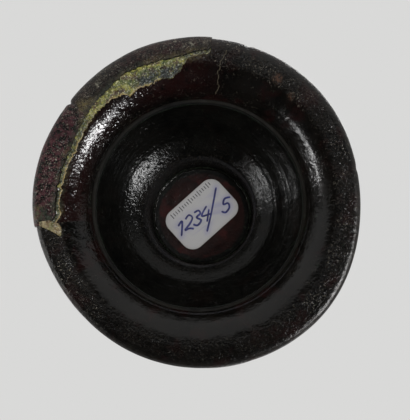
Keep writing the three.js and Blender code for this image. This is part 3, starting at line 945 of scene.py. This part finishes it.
# Build
foot_bronze = bronze(
    "foot_bronze", (7, 6, 5), (20, 17, 14), (34, 13, 12), speck=0.6, specular=0.32, roughness=0.13)
fragment_a_bronze = bronze(
    "fragment_a_bronze", (22, 22, 20), (58, 56, 47), (48, 26, 26), roughness=0.15, speck=0.9, mottled=0.75)
fragment_b_bronze = bronze(
    "fragment_b_bronze", (26, 22, 20), (92, 80, 74), (80, 40, 48), roughness=0.13, speck=1.0, mottled=1.0)
step_bronze = bronze(
    "step_bronze", (7, 7, 6), (18, 17.5, 15), (20, 13, 10), 0.5, specular=0.2, roughness=0.18, verdigris=0.2,
    speck=0.06, grain=1.4, rub=(14, 13, 11), rub_share=0.3, edge_rough=0.0, hazy=0.03)
disc_bronze = bronze(
    "disc_bronze", (30, 14, 12), (52, 23, 19), (76, 22, 20), roughness=0.42, verdigris=0.2, speck=0.15,
    specular=0.2)
body_bronze = bronze(
    "body_bronze", (30, 25, 21), (52, 43, 34), (50, 30, 22), verdigris=0.5, rub=(112, 86, 54), rub_metal=0.8,
    specular=0.5, grain=0.6)
verdigris_filler = crumbly_filler("verdigris_filler", (84, 86, 34), (172, 168, 78), (226, 222, 168))
dry_filler = crumbly_filler("dry_filler", (84, 72, 50), (158, 144, 106), (196, 186, 150))
blue_ink = ink("blue_ink", (34, 40, 118), (72, 80, 168), 0.45, 0.7)
grey_print = ink("grey_print", (34, 34, 38), (78, 78, 80), 0.4, 0.6)

dress_node(foot_skirt(), foot_bronze, "foot_bronze")
dress_node(rim_fragment("a", BREAK_START, BREAK_MIDDLE, 5), fragment_a_bronze, "fragment_a_bronze")
dress_node(rim_fragment("b", BREAK_MIDDLE, BREAK_END, 8), fragment_b_bronze, "fragment_b_bronze")
dress_node(break_fill(), verdigris_filler, "break_fill")
dress(filler_flake(), dry_filler, "break_fill")
dress_node(foot_step(), step_bronze, "step_bronze")
dress_node(base_disc(), disc_bronze, "disc_bronze")
writing = handwriting()
dress(label_paper(writing), paper(), "label_paper", "inventory_label")
dress(strokes_piece("label_handwriting", writing, INK_WIDTH), blue_ink, "label_paper")
dress(strokes_piece("label_print", printed_ticks(), TICK_WIDTH), grey_print, "label_paper")
for body_piece in [
    ring("stem_collar", STEM_RADIUS, (4.2, 5.6), 15), bowl_lower(), ring("waist_band", bowl_radius, (), 16),
    bowl_upper(), ring("neck_ring", NECK_ROOT_RADIUS, (), 17), neck(),
    ring("neck_knop", NECK_TOP_RADIUS, (4.0, 5.4), 18), mouth(), ring("mouth_bead", span("mouth")[0], (), 19),
]:
    dress_node(body_piece, body_bronze, "body_bronze")

# Camera, below the foot and a little towards +Y
IMAGE_WIDTH, IMAGE_HEIGHT = 410, 420
CAMERA_DISTANCE = 450
CAMERA_TILT, CAMERA_BEARING = 9.5, 75.0  # degrees off the axis, and towards where round it
FOCAL_PIXELS = 1424
ORIGIN_PIXEL = (197.9, 200.5)


def towards(bearing, off_axis, up):
    """A direction: the bearing is anticlockwise from above, and up is 1, or -1 for the side below."""
    turn, lean = radians(bearing), radians(off_axis)
    return Vector((sin(lean) * cos(turn), sin(lean) * sin(turn), up * cos(lean)))


def sides_of_view(ahead):
    """Right and up in the picture. Its top is towards -Y."""
    right = ahead.cross(Vector((0, -1, 0))).normalized()
    return right, right.cross(ahead)


def add_camera():
    to_camera = towards(CAMERA_BEARING, CAMERA_TILT, -1)
    ahead = -to_camera
    for _ in range(2):
        right, up = sides_of_view(ahead)
        aim = -to_camera - right * (ORIGIN_PIXEL[0] - IMAGE_WIDTH / 2) / FOCAL_PIXELS
        ahead = (aim + up * (ORIGIN_PIXEL[1] - IMAGE_HEIGHT / 2) / FOCAL_PIXELS).normalized()
    data = bpy.data.cameras.new("camera")
    data.sensor_fit = "HORIZONTAL"
    data.lens = FOCAL_PIXELS / IMAGE_WIDTH * data.sensor_width
    data.clip_start, data.clip_end = 0.01, 20
    camera = bpy.data.objects.new("camera", data)
    turn = Matrix((*sides_of_view(ahead), -ahead)).transposed().to_4x4()
    camera.matrix_world = Matrix.Translation(to_camera * CAMERA_DISTANCE * MM) @ turn
    bpy.context.scene.collection.objects.link(camera)
    bpy.context.scene.camera = camera


# Stage
PALE = (217, 217, 216)
FLOOR_DROP = 0.4
FLOOR_HOLE = 50
FLOOR_OPEN = 58
FLOOR_FADE = (0.12, 0.6)  # metres from the vase over which the floor turns into the background
AMBIENT = 0.62
# Dark cards that shade the hollow foot, as their corners
FLAGS = {
    "flag_below": [(-2000, 60, -650), (2000, -740, -650), (2000, 1400, -650), (-2000, 1400, -650)],
    "flag_beyond": [(-2000, 1400, -650), (2000, 1400, -650), (2000, 1400, -60), (-2000, 1400, -60)],
    "flag_left": [(-1500, -300, -650), (-1500, 1400, -650), (-1500, 1400, -60), (-1500, -300, -60)],
    "flag_right": [(1500, -300, -650), (1500, 1400, -650), (1500, 1400, -60), (1500, -300, -60)],
}


def add_floor():
    """A pale floor that shows only from above. It is open under the foot, which is looked into."""
    rings = np.array([FLOOR_HOLE, FLOOR_OPEN, 200, 3000.0])
    angles = np.radians(np.arange(0, 360, 5))
    vertices = [[r * cos(a), r * sin(a), -FLOOR_DROP] for r in rings for a in angles]
    floor = make_mesh("floor", np.array(vertices), grid_faces(len(rings), len(angles)).tolist())
    if floor.data.polygons[0].normal.z < 0:
        floor.data.flip_normals()
    s = new_shader("floor")
    camera_ray = s.node("LightPath", output="Is Camera Ray")
    radius = s.node("VectorMath", {0: s.place}, output="Value", operation="LENGTH")
    near = s.step(radius, (FLOOR_OPEN + 1) * MM, FLOOR_OPEN * MM)
    open_below = s.times(near, s.math("SUBTRACT", 1.0, camera_ray))
    shade = s.mix(s.noise(60, 3), PALE, (214, 214, 213))
    far = s.times(s.step(radius, *FLOOR_FADE), camera_ray)
    solid = s.node("MixShader", {
        0: far, 1: s.node("BsdfDiffuse", {"Color": shade}), 2: s.node("Emission", {"Color": shade})})
    clear = s.most(s.node("NewGeometry", output="Backfacing"), open_below)
    s.end(s.node("MixShader", {0: clear, 1: solid, 2: s.node("BsdfTransparent")}))
    floor.data.materials.append(s.owner)


def add_world():
    """The pale background that is seen and reflected, and an even light on everything."""
    s = Shader(bpy.data.worlds.new("world"))
    kinds = ("Is Camera Ray", "Is Glossy Ray", "Is Transmission Ray")
    seen = s.most(*(s.node("LightPath", output=kind) for kind in kinds))
    light = s.node("Background", {"Color": (255, 255, 255), "Strength": AMBIENT})
    s.end(s.node("MixShader", {0: seen, 1: light, 2: s.node("Background", {"Color": PALE})}), "OutputWorld")
    bpy.context.scene.world = s.owner


def add_lamp(name, bearing, off_axis, distance, width, height, radiance, below=False, roll=0):
    """A lamp that faces the vase, with lengths in metres. The lamps below only make highlights: the
    world lights the hollow foot evenly."""
    direction = towards(bearing, off_axis, -1 if below else 1)
    data = bpy.data.lights.new(name, "AREA")
    data.shape = "ELLIPSE" if below else "RECTANGLE"
    data.size, data.size_y = width, height
    data.energy = radiance * pi * width * height
    lamp = bpy.data.objects.new(name, data)
    lamp.location = Vector((0, 0, 0.02 if below else 0.08)) + direction * distance
    facing = (-direction).to_track_quat("-Z", "Y").to_matrix()
    lamp.rotation_euler = (facing @ Matrix.Rotation(radians(roll), 3, "Z")).to_euler()
    lamp.visible_diffuse = not below
    bpy.context.scene.collection.objects.link(lamp)


def add_flag(name, corners):
    """A dark card that keeps the pale surroundings out of the waxed bronze."""
    flag = make_mesh(name, np.array(corners, float), [[0, 1, 2, 3]])
    s = new_shader(name)
    shade = s.mix(s.noise(80, 3), (20, 20, 20), (26, 26, 26))
    s.finish(Base_Color=shade, Roughness=s.blend(s.noise(30, 2), 0.8, 0.95), Specular_IOR_Level=0.1)
    flag.data.materials.append(s.owner)
    flag.visible_camera = flag.visible_diffuse = flag.visible_shadow = False


add_camera()
add_floor()
add_world()
for flag_name, flag_corners in FLAGS.items():
    add_flag(flag_name, flag_corners)
add_lamp("lamp_below_right", 25, 49, 0.7, 0.19, 0.25, 42, below=True)
add_lamp("lamp_below_left", 168, 65, 0.7, 0.42, 0.03, 44, below=True, roll=30)
add_lamp("lamp_above_key", -60, 50, 1.1, 0.6, 0.6, 6)
add_lamp("lamp_above_fill", 60, 60, 1.2, 0.8, 0.8, 2)
add_lamp("lamp_above_back", 170, 55, 1.2, 0.6, 0.6, 3)

scene = bpy.context.scene
scene.view_settings.view_transform = "Standard"
